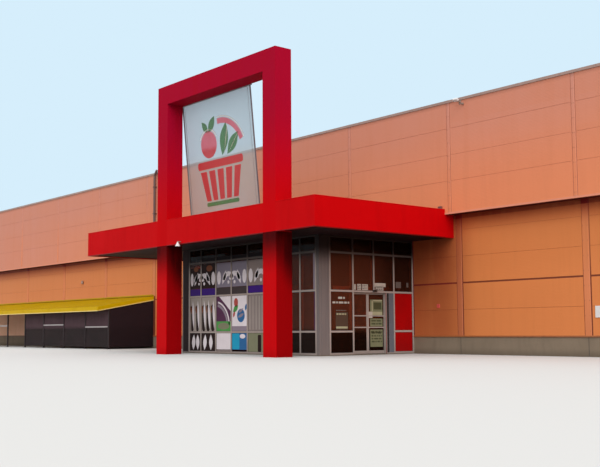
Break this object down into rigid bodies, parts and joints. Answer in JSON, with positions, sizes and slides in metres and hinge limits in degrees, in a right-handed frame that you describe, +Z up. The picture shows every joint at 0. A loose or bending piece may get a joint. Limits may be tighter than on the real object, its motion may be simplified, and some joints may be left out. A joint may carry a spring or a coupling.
{
  "type": "supermarket building, 1:2 scale model",
  "caption": "Long flat-roofed supermarket hall with an overhanging upper band, a canopy, a tall portal frame with a glass sign panel, a glazed vestibule with sliding doors and a lean-to.",
  "frame": {"origin": "on the ground, on the outer face of the front wall, at the middle of the canopy", "axes": "+X along the front to the right as seen from the street, +Y into the building, +Z up"},
  "size_m": [39.55, 28.112, 6.044],
  "materials": {
    "floor_concrete": "trowelled concrete, matt",
    "plinth_concrete": "cast concrete, matt",
    "wall_panel": "orange coated steel panel, satin",
    "wall_trim": "orange coated steel flashing, satin",
    "band_panel": "salmon coated steel panel, satin",
    "band_trim": "salmon coated steel flashing, satin",
    "coping_metal": "folded coated steel, satin",
    "roof_membrane": "grey roofing membrane, matt",
    "portal_red": "crimson coated cladding, satin",
    "canopy_red": "red coated cladding, satin",
    "infill_red": "red coated infill panel, satin",
    "ceiling_dark": "dark ceiling panels, matt",
    "sign_glass": "frosted laminated glass",
    "sign_metal": "grey anodised profile",
    "frame_aluminium": "light grey coated profile",
    "corner_cladding": "grey coated sheet, satin",
    "clear_glass": "tinted glazing",
    "lean_to_yellow": "yellow coated sheet, satin",
    "lean_to_steel": "dark painted steel, satin",
    "lean_to_screen": "grey translucent sheet"
  },
  "bodies": {
    "building": {"floor_slab": "floor_concrete", "plinth": "plinth_concrete", "front_wall_left": "wall_panel", "front_wall_right": "wall_panel", "front_wall_over_entrance": "wall_panel", "left_wall": "wall_panel", "right_wall": "wall_panel", "rear_wall": "wall_panel", "upper_band_front": "band_panel", "upper_band_left": "band_panel", "upper_band_right": "band_panel", "upper_band_rear": "band_panel", "overhang_soffit": "band_trim", "parapet_coping": "coping_metal", "roof_deck": "roof_membrane", "wall_joint_covers": "wall_trim", "band_joint_covers": "band_trim", "portal_left_leg": "portal_red", "portal_right_leg": "portal_red", "portal_beam": "portal_red", "canopy_front_fascia": "canopy_red", "canopy_side_fascias": "canopy_red", "canopy_roof": "roof_membrane", "canopy_ceiling": "ceiling_dark", "sign_panel": "sign_glass", "sign_frame": "sign_metal", "vestibule_front_frame": "frame_aluminium", "vestibule_right_frame": "frame_aluminium", "vestibule_left_frame": "frame_aluminium", "vestibule_glass": "clear_glass", "corner_posts": "corner_cladding", "infill_panels": "infill_red", "door_headers": "frame_aluminium", "lean_to_roof": "lean_to_yellow", "lean_to_fascia": "lean_to_yellow", "lean_to_posts": "lean_to_steel", "lean_to_screens": "lean_to_screen"},
    "right_door_front": {"right_door_front_leaf": "frame_aluminium", "right_door_front_glass": "clear_glass"},
    "right_door_rear": {"right_door_rear_leaf": "frame_aluminium", "right_door_rear_glass": "clear_glass"},
    "left_door_front": {"left_door_front_leaf": "frame_aluminium", "left_door_front_glass": "clear_glass"},
    "left_door_rear": {"left_door_rear_leaf": "frame_aluminium", "left_door_rear_glass": "clear_glass"}
  },
  "joints": [
    {"name": "right_door_front_slide", "type": "slide", "parent": "building", "child": "right_door_front", "axis": [0, -1, 0], "range_m": [0, 0.46]},
    {"name": "right_door_rear_slide", "type": "slide", "parent": "building", "child": "right_door_rear", "axis": [0, 1, 0], "range_m": [0, 0.46]},
    {"name": "left_door_front_slide", "type": "slide", "parent": "building", "child": "left_door_front", "axis": [0, -1, 0], "range_m": [0, 0.46]},
    {"name": "left_door_rear_slide", "type": "slide", "parent": "building", "child": "left_door_rear", "axis": [0, 1, 0], "range_m": [0, 0.46]}
  ],
  "couplings": [
    {"joint": "right_door_rear_slide", "follows": "right_door_front_slide", "ratio": 1},
    {"joint": "left_door_rear_slide", "follows": "left_door_front_slide", "ratio": 1}
  ]
}
